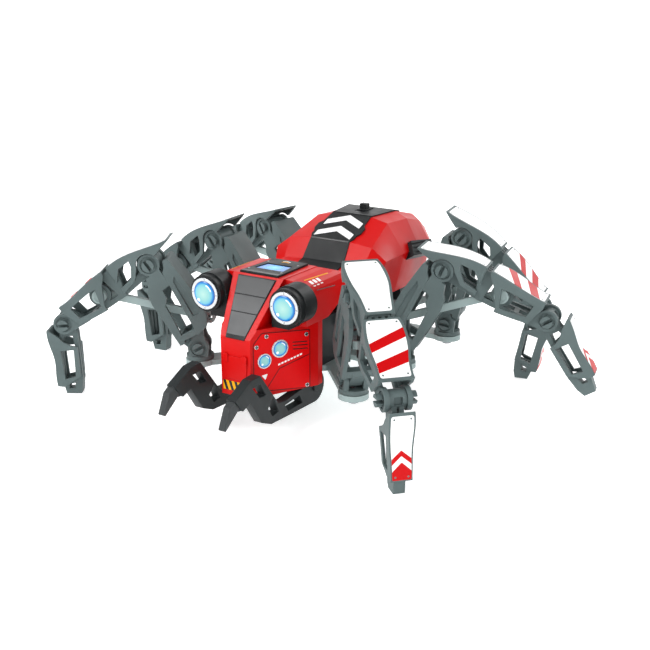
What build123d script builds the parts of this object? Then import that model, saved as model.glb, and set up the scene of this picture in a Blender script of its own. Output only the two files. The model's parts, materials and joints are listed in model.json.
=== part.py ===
"""Hexapod spider robot kit: a body with head, abdomen and mandibles on six hinged legs, in the pose
of a step, with the left middle foot lifted. Millimetres, +Z up, the head looks along -Y and +X is the
robot's left. The origin is on the floor under the middle of the whole robot."""

import os
from math import atan2, cos, degrees, hypot, radians, sin

from build123d import *

os.makedirs("parts", exist_ok=True)

# ---------------------------------------------------------------- driving dimensions
AXIS_Y = 23.1           # how far the body's own middle hip line lies behind the origin

# leg: lengths between hinge axes, and where the push rod's eye sits on the shin
HIP_Z = 32.4
THIGH = 60.2
SHIN = 67.2
FOOT = 49.6             # ankle axis to the end of the toe, before the sole is cut level
ROD_X, ROD_Y = 37.5, 1.5
ROD_LENGTH = 68.0
GUIDE_HEIGHT = 20.0     # the push rod crosses the hip block this far above the hip axis

# hips: place of each, heading (towards the head), thigh above level, shin and foot below level
LEGS = {
    "front_left": ((55.6, -61.1), 43.4, 68.4, 36.3, 84.4),
    "front_right": ((-55.6, -61.1), 29.9, 62.3, 35.2, 93.1),
    "middle_left": ((54.0, 0.0), -12.1, 63.9, 21.9, 58.2),
    "middle_right": ((-54.0, 0.0), 4.7, 62.5, 34.8, 94.3),
    "rear_left": ((53.6, 65.0), -10.5, 80.5, 40.5, 101.6),
    "rear_right": ((-53.6, 65.0), -10.3, 50.9, 31.0, 70.0),
}
LIFTED = "middle_left"

# across the leg: half-widths, from the middle plane outwards
HIP_GAP, HIP_SIDE = 4.3, 7.3        # inner and outer faces of the hip block's ears
GUIDE_GAP, GUIDE_SIDE = 2.8, 5.6    # and of the push rod's guide above them
ARM_IN, ARM_OUT = 7.0, 10.0         # thigh side arms and knee ears
RAIL_IN, RAIL_OUT = 3.0, 5.4        # rails of the shin link
ANKLE_IN, ANKLE_OUT = 4.9, 7.4      # ankle ears of the shin link
FOOT_IN, FOOT_OUT = 0.7, 3.2        # rails of the foot link
ROD_HALF = 1.5

# hinges
HIP_RING, KNEE_RING, ANKLE_RING, ROD_RING = 6.5, 6.8, 6.4, 6.8
KNEE_PIN, SMALL_PIN, ROD_PIN = 3.1, 2.9, 4.3
RUNNING = 0.05          # radial clearance of a pin in its hole
SIDE_PLAY = 0.3         # gap between moving faces
PRONG_SLOT = 2.0
WALL = 1.8

# lower deck, hip screws
DECK_TOP, DECK_THICK = 24.0, 3.5
HUB = 9.0
SCREW = 1.5

# body
SHELL = 2.2
CHASSIS_HALF = 17.0
LAMP_X, LAMP_Z = 27.7, 76.7
LAMP_FACE = -88.8
NOSE_Y, NOSE_HALF = -98.6, 10.3
HEAD_TOP = 88.4
MANDIBLE_X, MANDIBLE_THICK = 20.8, 6.0
MANDIBLE_PIVOT = (-52.0, 18.0)


# ---------------------------------------------------------------- planes of the legs
def along(y):
    """A place given from the middle hip line, in the part's own frame."""
    return y + AXIS_Y


def leg_plane(name):
    """Side view of a leg: x outwards, y up, origin on the hip axis, z across the leg."""
    (x, y), heading, *_ = LEGS[name]
    side = 1 if x > 0 else -1
    out = Vector(side * cos(radians(heading)), -sin(radians(heading)), 0)
    return Plane(origin=(x, along(y), HIP_Z), x_dir=out, z_dir=out.cross(Vector(0, 0, 1)))


def link_plane(base, start, angle):
    """Side view of one link, its x axis turned by angle from the base plane's, starting at start."""
    turned = base.x_dir * cos(radians(angle)) + base.y_dir * sin(radians(angle))
    return Plane(origin=base.from_local_coords((*start, 0)), x_dir=turned, z_dir=base.z_dir)


def plan_of(plane):
    """Looking down on a link: x along it, y across it."""
    return Plane(origin=plane.origin, x_dir=plane.x_dir, z_dir=plane.y_dir)


def link_end(start, length, angle):
    return start[0] + length * cos(radians(angle)), start[1] + length * sin(radians(angle))


def leg_points(name):
    """Knee, ankle and rod eye in the leg's side view, and the angle of the push rod from its eye."""
    _, _, thigh, shin, _ = LEGS[name]
    knee = link_end((0, 0), THIGH, thigh)
    ankle = link_end(knee, SHIN, -shin)
    eye = link_end(link_end(knee, ROD_X, -shin), ROD_Y, 90 - shin)
    rod = degrees(atan2(GUIDE_HEIGHT - eye[1], -eye[0]))
    return knee, ankle, eye, rod


# ---------------------------------------------------------------- small shared shapes
def outline(points):
    """A closed face through the points, in the open sketch."""
    Polygon(*points, align=None)


def slab(plane, inner, outer, points, mode=Mode.ADD):
    """The outline as two equal plates, one on each side of the plane; one block if inner is 0."""
    for side in (1, -1):
        with BuildSketch(plane.offset(side * inner)) as face:
            outline(points)
        extrude(face.sketch, amount=side * (outer - inner), mode=mode)


def disc(plane, radius, inner, outer, at=(0, 0), mode=Mode.ADD):
    """A round boss on each side of the plane, or one right across it if inner is 0."""
    for side in (1, -1):
        with BuildSketch(plane.offset(side * inner)) as face:
            with Locations(at):
                Circle(radius)
        extrude(face.sketch, amount=side * (outer - inner), mode=mode)


def snap_pins(plane, pin, head, inner, ear, end, at=(0, 0)):
    """Split snap-fit pins on both ends of a hinge barrel: shank, wider head and the slot across it."""
    disc(plane, pin, inner - 1, ear + SIDE_PLAY, at)
    disc(plane, head, ear + SIDE_PLAY, end, at)
    for side in (1, -1):
        with BuildSketch(plane.offset(side * (ear - 1))) as slot:
            with Locations(at):
                Rectangle(PRONG_SLOT, 3 * head)
        extrude(slot.sketch, amount=side * (end - ear + 2), mode=Mode.SUBTRACT)


def shell_of(plane, plan, wall, top, under, rest):
    """A channel: the side view (top curve, then the rest of the outline) limited by the plan curve
    and hollowed from below, so that a curved top plate and two curved side walls are left."""
    with BuildSketch(plane.offset(-20)) as outer_side:
        with BuildLine():
            roof = Spline(*top)
            Polyline(roof @ 1, *rest, roof @ 0)
        make_face()
    with BuildSketch(plane.offset(-20)) as inner_side:
        with BuildLine():
            ceiling = Spline(*under)
            Polyline(ceiling @ 1, (under[-1][0], -40), (under[0][0], -40), ceiling @ 0)
        make_face()
    above = plan_of(plane).offset(-45)
    forms = []
    for side_face, inset in ((outer_side, 0), (inner_side, wall)):
        with BuildSketch(above) as plan_face:
            with BuildLine():
                left = Spline(*[(x, half - inset) for x, half in plan])
                right = Spline(*[(x, inset - half) for x, half in plan])
                Line(left @ 0, right @ 0)
                Line(left @ 1, right @ 1)
            make_face()
        across = extrude(side_face.sketch, amount=40, mode=Mode.PRIVATE)
        down = extrude(plan_face.sketch, amount=90, mode=Mode.PRIVATE)
        forms.append(across & down)
    add(forms[0] - forms[1])


# ---------------------------------------------------------------- the pieces of one leg
def hip_block(name):
    """Turns on the deck arm about a vertical spigot; two ears for the thigh and a rod guide above."""
    (x, y), *_ = LEGS[name]
    side_view = leg_plane(name)
    floor = DECK_TOP + SIDE_PLAY - HIP_Z
    seat = -5.5
    with BuildPart() as block:
        with BuildSketch(Plane.XY.offset(HIP_Z + floor)):
            with Locations((x, along(y))):
                Circle(HUB - 0.5)
        extrude(amount=seat - floor)
        slab(side_view, 0, HIP_SIDE, [(-6, seat), (6, seat), (6.2, 0), (3.4, 8), (3.4, 13), (-3.4, 13),
                                      (-3.4, 8), (-6.2, 0)])
        slab(side_view, 0, GUIDE_SIDE, [(-3.4, 9), (3.4, 9), (3.4, 26.6), (2.2, 28.8), (-2.2, 28.8),
                                        (-3.4, 26.6)])
        disc(side_view, HIP_RING, 0, HIP_SIDE)
        slab(side_view, 0, HIP_GAP, [(-12, seat), (12, seat), (12, 11), (-12, 11)], Mode.SUBTRACT)
        slab(side_view, 0, GUIDE_GAP, [(-12, 10), (12, 10), (12, 26.6), (-12, 26.6)], Mode.SUBTRACT)
        disc(side_view, SMALL_PIN + RUNNING, 0, 12, mode=Mode.SUBTRACT)
        disc(side_view, HIP_RING - 1.6, HIP_SIDE - 0.7, HIP_SIDE, mode=Mode.SUBTRACT)
        with BuildSketch(Plane.XY.offset(DECK_TOP - DECK_THICK + 0.2)):
            with Locations((x, along(y))):
                Circle(3.4)
        extrude(amount=4)
        with BuildSketch(Plane.XY.offset(0)):
            with Locations((x, along(y))):
                Circle(SCREW + RUNNING)
        extrude(amount=HIP_Z + seat + 1, mode=Mode.SUBTRACT)
    return block


def thigh_frame(name):
    """Hip knuckle with its snap pins, two shield-shaped side arms and the knee ears."""
    *_, thigh, _, _ = LEGS[name]
    plane = link_plane(leg_plane(name), (0, 0), thigh)
    knee = (THIGH, 0)
    arm = [(7.0, -8.2), (37.3, -10.6), (44.9, -9.6), (47.6, -7.4), (53.5, -5.5), (55, 4.4), (49, 5),
           (43.6, 5), (42.6, -0.3), (37.4, -0.4), (33.2, -3.7), (26.8, -3.8), (12.5, -4.4), (12.5, 5),
           (8.8, 5), (8.8, -4.4), (7.0, -4.6)]
    with BuildPart() as frame:
        disc(plane, 5.0, 0, HIP_GAP - SIDE_PLAY)
        slab(plane, 0, HIP_GAP - SIDE_PLAY, [(0, -5), (8, -8.6), (12, -8.6), (12, -5), (4, 3)])
        slab(plane, 0, ARM_OUT, [(7.4, -8.2), (12.5, -8.6), (12.5, -4.6), (7.4, -4.6)])
        slab(plane, ARM_IN + 0.6, ARM_OUT, arm)
        disc(plane, KNEE_RING, ARM_IN, ARM_OUT, knee)
        slab(plane, 0, ARM_OUT, [(43.6, 1.8), (48.6, 1.8), (48.6, 5), (44, 5)])
        disc(plane, KNEE_PIN + RUNNING, 5, 12, knee, Mode.SUBTRACT)
        disc(plane, KNEE_RING - 1.6, ARM_OUT - 0.8, ARM_OUT, knee, Mode.SUBTRACT)
        snap_pins(plane, SMALL_PIN, SMALL_PIN + 0.6, HIP_GAP, HIP_SIDE, HIP_SIDE + 1.9)
    return frame


def thigh_cover(name):
    """Channel over the thigh's inner side, open at the bottom for the rod guide of the hip block."""
    *_, thigh, _, _ = LEGS[name]
    plane = link_plane(leg_plane(name), (0, 0), thigh)
    side = [(8, 5), (52, 5), (54.5, 7.2), (58.6, 8.8), (59.4, 12), (36, 15.6), (17, 16), (10.6, 12.6)]
    with BuildPart() as cover:
        slab(plane, 0, ARM_OUT, side)
        edges = cover.edges().filter_by(Axis(plane.origin, plane.z_dir))
        fillet(edges.sort_by(Axis(plane.origin, plane.y_dir))[-4:], 2.0)
        with BuildSketch(plane.offset(WALL - ARM_OUT)):
            outline([(0, 0), (56, 0), (56, 8.6), (57, 10.4), (35.8, 13.6), (17.6, 13.8), (12.6, 11.4),
                     (9, 5)])
        extrude(amount=2 * (ARM_OUT - WALL), mode=Mode.SUBTRACT)
        slab(plane, 0, GUIDE_SIDE + SIDE_PLAY, [(0, 0), (27, 0), (27, 20), (0, 20)], Mode.SUBTRACT)
        slab(plane, 0, HIP_SIDE + SIDE_PLAY, [(0, 0), (17, 0), (17, 13), (0, 13)], Mode.SUBTRACT)
        slab(plane, ARM_OUT - 0.8, ARM_OUT, [(20, 8.2), (44, 8.2), (47, 10.2), (35, 12.2), (20, 12.4)],
             Mode.SUBTRACT)
    return cover


def shin_plane(name):
    knee, *_ = leg_points(name)
    _, _, _, shin, _ = LEGS[name]
    return link_plane(leg_plane(name), knee, -shin)


def leg_link(name):
    """Inner beam of the shin: knee barrel, two rails with the rings of the rod eye, ankle ears."""
    plane = shin_plane(name)
    ankle, eye = (SHIN, 0), (ROD_X, ROD_Y)
    beam = [(-1, -5.9), (7, -6), (25, -8), (35, -8), (58, -7.4), (58, -4.2), (44, -4.6), (30, -4.8),
            (14, -2.6), (5, 1)]
    with BuildPart() as link:
        disc(plane, 6.0, 0, ARM_IN - SIDE_PLAY)
        slab(plane, RAIL_IN, RAIL_OUT, beam)
        disc(plane, ROD_RING, RAIL_IN, RAIL_OUT, eye)
        slab(plane, 2.6, 6.0, [(23.6, -7.6), (27.6, -7.6), (30.4, 9.4), (19, 9.4)])
        slab(plane, 0, 6.0, [(19.4, 7), (30, 7), (30.4, 9.4), (30.4, 11.3), (19, 11.3), (19, 9.4)])
        slab(plane, ANKLE_IN, ANKLE_OUT, [(52, -7.5), (67, -6.4), (67, 6.4), (61, 2.6), (58, -3.4),
                                          (52, -4.4)])
        disc(plane, ANKLE_RING, ANKLE_IN, ANKLE_OUT, ankle)
        slab(plane, 0, RAIL_OUT, [(47, -7.7), (50, -7.6), (50, -4.5), (47, -4.6)])
        for across in (-3.6, 0, 3.6):
            with BuildSketch(plane.offset(across - 0.9)):
                outline([(23.6, 8.4), (26, 8.4), (26, 14), (23.6, 14)])
            extrude(amount=1.8, mode=Mode.SUBTRACT)
        disc(plane, ROD_PIN + RUNNING, 0, 12, eye, Mode.SUBTRACT)
        disc(plane, SMALL_PIN + RUNNING, 0, 12, ankle, Mode.SUBTRACT)
        disc(plane, ANKLE_RING - 1.6, ANKLE_OUT - 0.8, ANKLE_OUT, ankle, Mode.SUBTRACT)
        snap_pins(plane, KNEE_PIN, KNEE_PIN + 0.6, ARM_IN, ARM_OUT, ARM_OUT + 2.4)
    return link


def leg_armour(name):
    """Two shells clipped over the shin: the upper one overhangs the knee, the lower one ends short
    of the ankle. Each is a curved plate with two windowed side walls."""
    plane = shin_plane(name)
    with BuildPart() as upper:
        shell_of(plane, [(-19, 10), (-14, 11.4), (0, 11.6), (12, 9.6), (23.2, 8.2)], WALL,
                 [(-19, 6.2), (-10, 8.4), (0, 11.2), (10, 13.2), (23.2, 13.2)],
                 [(-19.5, 5.0), (-10, 6.6), (0, 9.3), (10, 11.3), (32, 11.3)],
                 [(29.5, -4.4), (26, -6.2), (13, -3.2), (6.5, 3.2), (-7, 3), (-19.3, 5.6)])
        disc(plane, KNEE_RING + 0.7, 0, 15, mode=Mode.SUBTRACT)
        slab(plane, 4, 15, [(8.4, 8.8), (9.4, 5.2), (14.1, -0.7), (25.5, -2.6), (26.2, -1), (17, 8.4)],
             Mode.SUBTRACT)
    with BuildPart() as lower:
        shell_of(plane, [(26.2, 9.8), (34, 11.4), (44, 11.4), (53, 10), (62.2, 9.6)], WALL,
                 [(26.2, 13.2), (34, 13.2), (44, 12.0), (53, 10.6), (62.2, 10.2)],
                 [(22, 11.3), (34, 11.3), (44, 10.2), (53, 8.8), (64, 8.4)],
                 [(62.2, 6), (58, -6.2), (37.3, -8), (37.2, -4.8), (31.2, 5.8), (26.9, 10.5)])
        slab(plane, 4, 15, [(36, 6.6), (41, 7.1), (52.8, 6), (56.6, 5.2), (55.4, -2.6), (46, -4),
                            (39.4, -4.4)], Mode.SUBTRACT)
    with BuildPart() as pair:
        add(upper.part)
        add(lower.part)
    return pair


def foot_plane(name):
    _, ankle, *_ = leg_points(name)
    *_, foot = LEGS[name]
    return link_plane(leg_plane(name), ankle, -foot)


def foot_link(name):
    """Ankle barrel with snap pins, two rails and the toe loop, its sole cut level with the floor."""
    plane = foot_plane(name)
    with BuildPart() as link:
        disc(plane, 5.2, 0, ANKLE_IN - SIDE_PLAY)
        slab(plane, FOOT_IN, FOOT_OUT, [(1, -4.6), (7, -6.6), (38, -6.8), (41, 5.8), (36, 6.8), (14, 6.8),
                                        (7, 4.4), (1, 4)])
        slab(plane, FOOT_IN, FOOT_OUT, [(9, -3.4), (17, -4.2), (37, -4.2), (37.4, 4.8), (17, 4.8), (9, 2)],
             Mode.SUBTRACT)
        slab(plane, 0, FOOT_OUT, [(36.6, -6.8), (FOOT - 4, -5.4), (FOOT + 1, -3.2), (FOOT + 1, 4), (40, 6)])
        slab(plane, 0, FOOT_OUT + 1, [(40, -1.6), (43.6, -0.8), (43.6, 2.8), (40.6, 2.2)], Mode.SUBTRACT)
        slab(plane, 0, 2.4, [(-2, 3.2), (2, 3.2), (2, 8), (-2, 8)], Mode.SUBTRACT)
        snap_pins(plane, SMALL_PIN, SMALL_PIN + 0.6, ANKLE_IN, ANKLE_OUT, ANKLE_OUT + 3.4)
        if name != LIFTED:
            split(bisect_by=Plane.XY, keep=Keep.TOP)
    return link


def foot_armour(name):
    """Shell over the foot: front plate with a pointed brow, long windows in the side walls."""
    plane = foot_plane(name)
    with BuildPart() as armour:
        shell_of(plane, [(4, 6.8), (13, 7.0), (28, 6.2), (42, 5.9)], WALL - 0.2,
                 [(4, 11.6), (13, 10.8), (24, 8.8), (32, 9.2), (41, 9.0)],
                 [(3, 10.4), (13, 9.2), (24, 7.1), (32, 7.5), (44, 7.3)],
                 [(41.6, 5), (35, -6.2), (15.5, -6.5), (14.2, -2), (12, 1.9), (9, 4.2), (4.4, 10.2)])
        slab(plane, 3.4, 15, [(17.2, -4), (17.6, 4.4), (36.5, 3.8), (35.2, -3)], Mode.SUBTRACT)
        with BuildSketch(plane.offset(-5.2)):
            outline([(13.4, 4.4), (16.4, 4.5), (16.4, 9.2), (13.4, 9.6)])
        extrude(amount=10.4)
    return armour


def foot(name):
    """Foot link and its armour, two solids that share a node."""
    with BuildPart() as pair:
        add(foot_link(name).part)
        add(foot_armour(name).part)
    return pair


def push_rod(name):
    """Flat rod that works the shin: a round eye with two stub pins, and a plain inner end."""
    _, _, eye, rod = leg_points(name)
    plane = link_plane(leg_plane(name), eye, rod)
    with BuildPart() as bar:
        disc(plane, 6.0, 0, RAIL_IN - SIDE_PLAY)
        disc(plane, ROD_PIN, 2, 9.0)
        disc(plane, ROD_PIN - 1.2, 8.6, 9.0, mode=Mode.SUBTRACT)
        with BuildSketch(plane.offset(-ROD_HALF)):
            with Locations((ROD_LENGTH / 2, 0)):
                SlotCenterToCenter(ROD_LENGTH, 4.6)
        extrude(amount=2 * ROD_HALF)
        disc(plane, 3.6, 0, 2.2, (ROD_LENGTH, 0))
        disc(plane, 1.6, 0, 4, (ROD_LENGTH, 0), Mode.SUBTRACT)
    return bar


# ---------------------------------------------------------------- deck, chassis and fasteners
def lower_deck():
    """Plate with six arms, a round hub at the end of each, and an opening for the battery door."""
    with BuildPart() as deck:
        with BuildSketch(Plane.XY.offset(DECK_TOP - DECK_THICK)):
            with Locations((0, along(19))):
                RectangleRounded(40, 106, 5)
            with Locations((0, along(-52))):
                RectangleRounded(26, 52, 5)
            for (x, y), *_ in LEGS.values():
                root = (18 if x > 0 else -18, -20 if y < -20 else y)
                span = hypot(x - root[0], y - root[1])
                turn = degrees(atan2(y - root[1], x - root[0]))
                with Locations(Location(((x + root[0]) / 2, along((y + root[1]) / 2)), turn)):
                    Rectangle(span, 13)
                with Locations((x, along(y))):
                    Circle(HUB)
        extrude(amount=DECK_THICK)
        with BuildSketch(Plane.XY.offset(DECK_TOP - DECK_THICK)):
            for (x, y), *_ in LEGS.values():
                with Locations((x, along(y))):
                    Circle(3.4 + RUNNING)
            with Locations((0, along(36))):
                Rectangle(30, 56)
        extrude(amount=DECK_THICK, mode=Mode.SUBTRACT)
    return deck


def battery_door():
    """Flush cover in the deck, with a finger catch at its rear edge."""
    with BuildPart() as door:
        with BuildSketch(Plane.XY.offset(DECK_TOP - DECK_THICK)):
            with Locations((0, along(36))):
                Rectangle(29.4, 55.4)
        extrude(amount=DECK_THICK - 0.3)
        with BuildSketch(Plane.XY.offset(DECK_TOP - DECK_THICK)):
            with GridLocations(0, 3, 1, 5):
                with Locations((0, along(24))):
                    Rectangle(18, 1.2)
            with Locations((0, along(61))):
                Rectangle(10, 2.4)
        extrude(amount=0.8, mode=Mode.SUBTRACT)
    return door


def hip_screws():
    """One shouldered screw with its washer under each hub."""
    bottom = DECK_TOP - DECK_THICK
    with BuildPart() as screws:
        for (x, y), *_ in LEGS.values():
            for radius, start, height in ((5.2, bottom - 1.2, 1.2), (3.0, bottom - 3.0, 1.9),
                                          (SCREW, bottom - 0.2, 6.2)):
                with BuildSketch(Plane.XY.offset(start)):
                    with Locations((x, along(y))):
                        Circle(radius)
                extrude(amount=height)
            with BuildSketch(Plane.XY.offset(bottom - 3.0)):
                with Locations((x, along(y))):
                    Rectangle(3.6, 0.8)
                    Rectangle(0.8, 3.6)
            extrude(amount=0.9, mode=Mode.SUBTRACT)
    return screws


def chassis_frame():
    """Open-topped box on the deck that carries the shells, the cells, the motor and the mandibles."""
    pivot_y, pivot_z = MANDIBLE_PIVOT
    with BuildPart() as chassis:
        with BuildSketch(Plane.XY.offset(DECK_TOP)):
            with Locations((0, along(-2))):
                RectangleRounded(2 * CHASSIS_HALF, 140, 3)
        extrude(amount=30)
        with BuildSketch(Plane.XY.offset(DECK_TOP)):
            with Locations((0, along(36))):
                Rectangle(2 * CHASSIS_HALF - 5, 57)
        extrude(amount=30, mode=Mode.SUBTRACT)
        with BuildSketch(Plane.XY.offset(DECK_TOP + 2.5)):
            with Locations((0, along(-32))):
                Rectangle(2 * CHASSIS_HALF - 5, 73)
        extrude(amount=30, mode=Mode.SUBTRACT)
        for side in (1, -1):
            with BuildSketch(Plane.YZ.offset(side * 13.6)):
                with Locations((along(pivot_y), pivot_z)):
                    Circle(8)
                with Locations((along(pivot_y), pivot_z + 6)):
                    Rectangle(16, 12)
            extrude(amount=side * 3.6)
            with BuildSketch(Plane.YZ.offset(side * 16)):
                with Locations((along(pivot_y), pivot_z)):
                    Circle(SMALL_PIN)
            extrude(amount=side * (MANDIBLE_X + MANDIBLE_THICK / 2 - 16 + 1.2))
            for y in (-10, 30, 60):
                with BuildSketch(Plane.XY.offset(DECK_TOP + 20)):
                    with Locations((side * (CHASSIS_HALF + 2.5), along(y))):
                        Rectangle(6, 8)
                extrude(amount=12)
    return chassis


def battery_cells():
    """Two round cells side by side, each with its raised contact."""
    with BuildPart() as cells:
        for x in (-7.1, 7.1):
            with BuildSketch(Plane.XZ.offset(-along(11))):
                with Locations((x, DECK_TOP + 8.2)):
                    Circle(7.0)
            extrude(amount=-49)
            with BuildSketch(Plane.XZ.offset(-along(60))):
                with Locations((x, DECK_TOP + 8.2)):
                    Circle(2.6)
            extrude(amount=-1.4)
    return cells


def drive_motor():
    """Small round motor with flattened sides, its nose boss and shaft, lying along the chassis."""
    with BuildPart() as motor:
        with BuildSketch(Plane.XZ.offset(-along(-50))):
            with Locations((0, DECK_TOP + 12.6)):
                Circle(10)
                Rectangle(30, 15, mode=Mode.INTERSECT)
        extrude(amount=-25)
        for radius, length in ((3, 27), (1, 36)):
            with BuildSketch(Plane.XZ.offset(-along(-50))):
                with Locations((0, DECK_TOP + 12.6)):
                    Circle(radius)
            extrude(amount=-length)
    return motor


# ---------------------------------------------------------------- head
def head_mass(inset, mode):
    """Outer or inner form of the head: snout block, sloping brow with the visor, and shoulders."""
    nose, front, brow = NOSE_HALF - inset, NOSE_Y + inset, 57.0
    slope = NOSE_Y + 1.3 * inset
    chin = 12 if inset else 22
    with BuildSketch(Plane.XY.offset(chin)) as snout:
        outline([(-nose, along(front)), (nose, along(front)), (30 - inset, along(-58.5)),
                 (30 - inset, along(-54)), (-30 + inset, along(-54)), (-30 + inset, along(-58.5))])
    plan_view = extrude(snout.sketch, amount=62.5 - inset - chin, mode=Mode.PRIVATE)
    with BuildSketch(Plane.YZ.offset(-40)) as snout_side:
        outline([(along(slope - 0.3 * inset), chin), (along(slope - 0.3 * inset), brow),
                 (along(slope + 4.2), 62.6), (along(-50), 62.6), (along(-50), chin)])
    add(plan_view & extrude(snout_side.sketch, amount=80, mode=Mode.PRIVATE), mode=mode)

    with BuildSketch(Plane.YZ.offset(-20)) as brow_side:
        outline([(along(slope), 40), (along(slope), brow), (along(-75.6 + 1.3 * inset), 87.6 - inset),
                 (along(-75 + 1.3 * inset), HEAD_TOP - inset), (along(-40), HEAD_TOP - inset),
                 (along(-18), 60), (along(-58), 40)])
    side_view = extrude(brow_side.sketch, amount=40, mode=Mode.PRIVATE)
    with BuildSketch(Plane.XZ.offset(-along(-110))) as brow_front:
        outline([(-nose, 40), (nose, 40), (nose, brow), (17.4 - inset, 88), (17.4 - inset, 94),
                 (-17.4 + inset, 94), (-17.4 + inset, 88), (-nose, brow)])
    front_view = extrude(brow_front.sketch, amount=-100, mode=Mode.PRIVATE)
    add(side_view & front_view, mode=mode)

    round_edge = [(31.5, 78), (31, 81.5), (29.6, 84.2), (27, 86.2), (22, 87.6), (14, HEAD_TOP)]
    half = [(31.5 - inset, 62 + inset)] + [(x - inset, z - inset) for x, z in round_edge]
    if inset:
        half = [(20, 50), (20, 62 + inset)] + half
    with BuildSketch(Plane.XZ.offset(-along(-73.4 + inset))) as shoulder_front:
        outline(half + [(-x, z) for x, z in reversed(half)])
    shoulders = extrude(shoulder_front.sketch, amount=-63.4, mode=Mode.PRIVATE)
    top = [(along(-80), HEAD_TOP), (along(-41), HEAD_TOP), (along(-18), 80.5)]
    below = [(along(-20), 76), (along(-54), 60), (along(-54), 50), (along(-80), 50)]
    if inset:
        top = [(y, z - 1.1 * inset) for y, z in top]
        below = [(along(-10), 74.6), (along(-10), 50), (along(-80), 50)]
    with BuildSketch(Plane.YZ.offset(-40)) as flank_side:
        outline(top + below)
    flank = extrude(flank_side.sketch, amount=80, mode=Mode.PRIVATE)
    add(shoulders & flank, mode=mode)


def head_shell():
    """Red casing of the head, hollow and open underneath and behind, with its lamp recesses."""
    with BuildPart() as shell:
        head_mass(0, Mode.ADD)
        head_mass(SHELL, Mode.SUBTRACT)
        with BuildSketch(Plane.XY.offset(0)):
            with Locations((0, along(-40))):
                Rectangle(56, 36)
        extrude(amount=60, mode=Mode.SUBTRACT)
        visor_form(1.0, Mode.SUBTRACT)
    return shell


def visor_form(proud, mode):
    """Tapered slab let into the sloping brow, standing proud of it."""
    slope = Plane(origin=(0, along(-99.2), 56.1), x_dir=(1, 0, 0), z_dir=(0, -31.4, 23.5))
    with BuildSketch(slope.offset(proud)) as face:
        outline([(-6.4, 0.6), (6.4, 0.6), (13.2, 39), (-13.2, 39)])
    extrude(face.sketch, amount=-proud - 1.6, mode=mode)


def head_visor():
    """Dark panel that carries the visor's panes down the brow."""
    with BuildPart() as visor:
        visor_form(0.4, Mode.ADD)
    return visor


def lamp_housings():
    """Black barrel on each side of the brow, stepped at the front for its bezel."""
    with BuildPart() as housings:
        for side in (1, -1):
            for radius, start, end in ((10.8, LAMP_FACE, LAMP_FACE + 4), (11.6, LAMP_FACE + 4, -73.7)):
                with BuildSketch(Plane.XZ.offset(-along(start))):
                    with Locations((side * LAMP_X, LAMP_Z)):
                        Circle(radius)
                extrude(amount=start - end)
            with BuildSketch(Plane.XZ.offset(-along(LAMP_FACE + 4))):
                with Locations((side * (LAMP_X - 6), LAMP_Z - 7)):
                    Rectangle(12, 14)
            extrude(amount=LAMP_FACE + 4 + 73.7)
    return housings


def lamp_bezels():
    """Silver ring round each lens."""
    with BuildPart() as bezels:
        for side in (1, -1):
            with BuildSketch(Plane.XZ.offset(-along(LAMP_FACE - 1.2))):
                with Locations((side * LAMP_X, LAMP_Z)):
                    Circle(9.3)
                    Circle(7.5, mode=Mode.SUBTRACT)
            extrude(amount=-1.2)
    return bezels


def lamp_lenses():
    """Domed glowing lens in each bezel, with its stem in the housing."""
    with BuildPart() as lenses:
        for side in (1, -1):
            with BuildSketch(Plane.XZ.offset(-along(LAMP_FACE - 2.4))):
                with Locations((side * LAMP_X, LAMP_Z)):
                    Circle(7.4)
            extrude(amount=-2.4)
        fillet(lenses.edges().group_by(Axis.Y)[0], 2.2)
    return lenses


def head_deck():
    """Black top plate of the head, with a sunk place for the display."""
    with BuildPart() as deck:
        with BuildSketch(Plane.XY.offset(HEAD_TOP)):
            outline([(-13.2, along(-74.6)), (13.2, along(-74.6)), (12.2, along(-41.4)),
                     (-12.2, along(-41.4))])
        extrude(amount=1.2)
        with BuildSketch(Plane.XY.offset(HEAD_TOP + 0.5)):
            outline([(-10.2, along(-65)), (10.2, along(-65)), (8.7, along(-52.6)), (-8.7, along(-52.6))])
        extrude(amount=2, mode=Mode.SUBTRACT)
    return deck


# ---------------------------------------------------------------- abdomen
# half sections from front to back: distance behind the hip line, then (across, up) from crown to keel
ABDOMEN = [
    (-16, ((15, 78), (22, 77), (27, 72), (24, 64), (16, 60))),
    (-5.5, ((15.2, 81.2), (29, 80.6), (36, 77), (30, 64), (18, 58))),
    (3.4, ((14.4, 93.6), (30, 92), (40.2, 84.5), (32, 62), (20, 56))),
    (30, ((14.2, 104.6), (26, 102.0), (38.5, 84), (32, 58), (20, 55))),
    (56, ((17.6, 104.6), (26, 100.6), (35.5, 83), (30, 57), (18, 55))),
    (78, ((18.4, 99), (24, 95), (33, 80), (28, 60), (16, 56))),
    (94, ((14, 90), (20, 87), (26, 76), (22, 64), (12, 60))),
]


def abdomen_mass(inset, drop, mode):
    """Faceted body lofted through the sections, each drawn in by inset and its keel lowered."""
    ends = {ABDOMEN[0][0]: inset, ABDOMEN[-1][0]: -inset}
    for start, end in zip(ABDOMEN, ABDOMEN[1:]):
        sections = []
        for y, half in (start, end):
            points = [(x - inset, z - 0.8 * inset) for x, z in half]
            points[-1] = (points[-1][0], points[-1][1] - drop)
            with BuildSketch(Plane.XZ.offset(-along(y + ends.get(y, 0)))) as section:
                outline(points + [(-x, z) for x, z in reversed(points)])
            sections.append(section.sketch.face())
        loft(sections, ruled=True, mode=mode)


def abdomen_shell():
    """Red faceted casing of the abdomen, hollow and open below."""
    with BuildPart() as shell:
        abdomen_mass(0, 0, Mode.ADD)
        abdomen_mass(SHELL, 20, Mode.SUBTRACT)
    return shell


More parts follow.
